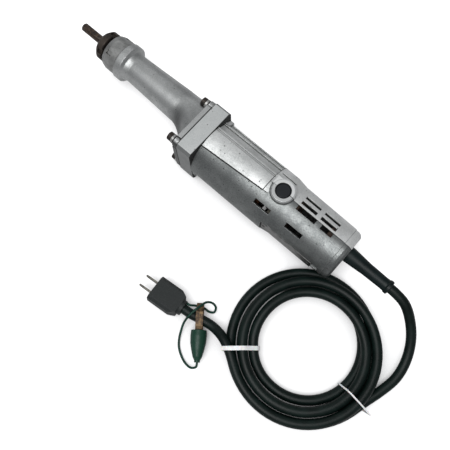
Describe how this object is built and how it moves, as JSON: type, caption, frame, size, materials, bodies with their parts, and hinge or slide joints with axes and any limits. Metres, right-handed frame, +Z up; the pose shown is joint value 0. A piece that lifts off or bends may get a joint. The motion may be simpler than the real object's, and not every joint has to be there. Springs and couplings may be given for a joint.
{
  "type": "straight grinder",
  "caption": "Corded straight hand grinder with a bare cast casing, a long nose set to one side, a collet with a bare shank, and a tied coil of cord with plug and earth clip.",
  "frame": {"origin": "centre of the side of the square gear plate that the tool lies on, below the motor axis", "axes": "+X along the tool towards the spindle nose, +Z up through the push button, +Y to the side where the coil of cord lies"},
  "size_m": [0.5425, 0.2368, 0.073],
  "materials": {
    "cast_aluminium": "scuffed bare casting",
    "machined_aluminium": "turned, satin",
    "rusty_steel": "dark brown, rusted",
    "bearing_steel": "ground",
    "screw_steel": "dull zinc",
    "core_iron": "varnished laminations",
    "copper": "copper colour",
    "brass": "dull",
    "aged_brass": "tarnished",
    "carbon": "matt black",
    "bakelite": "dark brown",
    "black_plastic": "satin black",
    "black_rubber": "matt",
    "felt": "felt",
    "green_wire": "dark green",
    "white_tie": "white"
  },
  "bodies": {
    "housing": {"nose_cap": "machined_aluminium", "dust_seal": "felt", "front_bearing": "bearing_steel", "rear_spindle_bearing": "bearing_steel", "nose_housing": "cast_aluminium", "gear_plate": "cast_aluminium", "flange_screws": "screw_steel", "plate_screws": "screw_steel", "screw_washers": "screw_steel", "motor_front_bearing": "bearing_steel", "motor_rear_bearing": "bearing_steel", "field_core": "core_iron", "field_coils": "copper", "brush_bracket": "bakelite", "brush_holders": "brass", "carbon_brushes": "carbon", "brush_springs": "screw_steel", "left_shell": "cast_aluminium", "motor_housing": "cast_aluminium", "rear_cover": "cast_aluminium", "casing_screws": "screw_steel", "nameplate": "machined_aluminium", "nameplate_rivets": "machined_aluminium", "switch_body": "black_plastic", "switch_spring": "screw_steel", "cord_clamp": "bakelite", "clamp_screws": "screw_steel", "inner_leads": "black_plastic", "cord_guard": "black_rubber", "cord_tool_run": "black_rubber", "cord_coil": "black_rubber", "cord_plug_run": "black_rubber", "wide_tie": "white_tie", "thin_tie": "white_tie", "plug_body": "black_rubber", "plug_blades": "aged_brass", "earth_lead": "green_wire", "clip_lower_jaw": "aged_brass", "clip_pin": "aged_brass", "clip_spring": "screw_steel", "clip_boot": "green_wire"},
    "rotor": {"armature_shaft": "bearing_steel", "pinion": "screw_steel", "fan": "black_plastic", "armature_core": "core_iron", "armature_windings": "copper", "commutator": "copper"},
    "spindle_group": {"spindle": "screw_steel", "spindle_gear": "screw_steel", "gear_spacer": "screw_steel", "collet": "bearing_steel", "mandrel_shank": "rusty_steel"},
    "nut": {"collet_nut": "rusty_steel"},
    "button": {"switch_button": "black_plastic"},
    "jaw": {"clip_upper_jaw": "aged_brass"}
  },
  "joints": [
    {"name": "rotor_spin", "type": "hinge", "parent": "housing", "child": "rotor", "pos_m": [0, 0, 0.0355], "axis": [1, 0, 0], "continuous": true},
    {"name": "spindle_spin", "type": "hinge", "parent": "housing", "child": "spindle_group", "pos_m": [0, -0.0155, 0.0355], "axis": [1, 0, 0], "continuous": true},
    {"name": "collet_nut_turn", "type": "hinge", "parent": "spindle_group", "child": "nut", "pos_m": [0.17, -0.0155, 0.0355], "axis": [1, 0, 0], "range_deg": [0, 360]},
    {"name": "switch_press", "type": "slide", "parent": "housing", "child": "button", "axis": [0, 0, -1], "range_m": [0, 0.003], "stiffness_N_per_m": 600, "springref_m": -0.003, "deforming": ["switch_spring"]},
    {"name": "clip_open", "type": "hinge", "parent": "housing", "child": "jaw", "pos_m": [-0.1344, 0.1602, 0.0094], "axis": [-0.7837, -0.6211, 0], "range_deg": [0, 8], "stiffness_Nm_per_rad": 0.15, "springref_deg": -28.65}
  ],
  "couplings": [
    {"joint": "spindle_spin", "follows": "rotor_spin", "ratio": -0.63158}
  ]
}
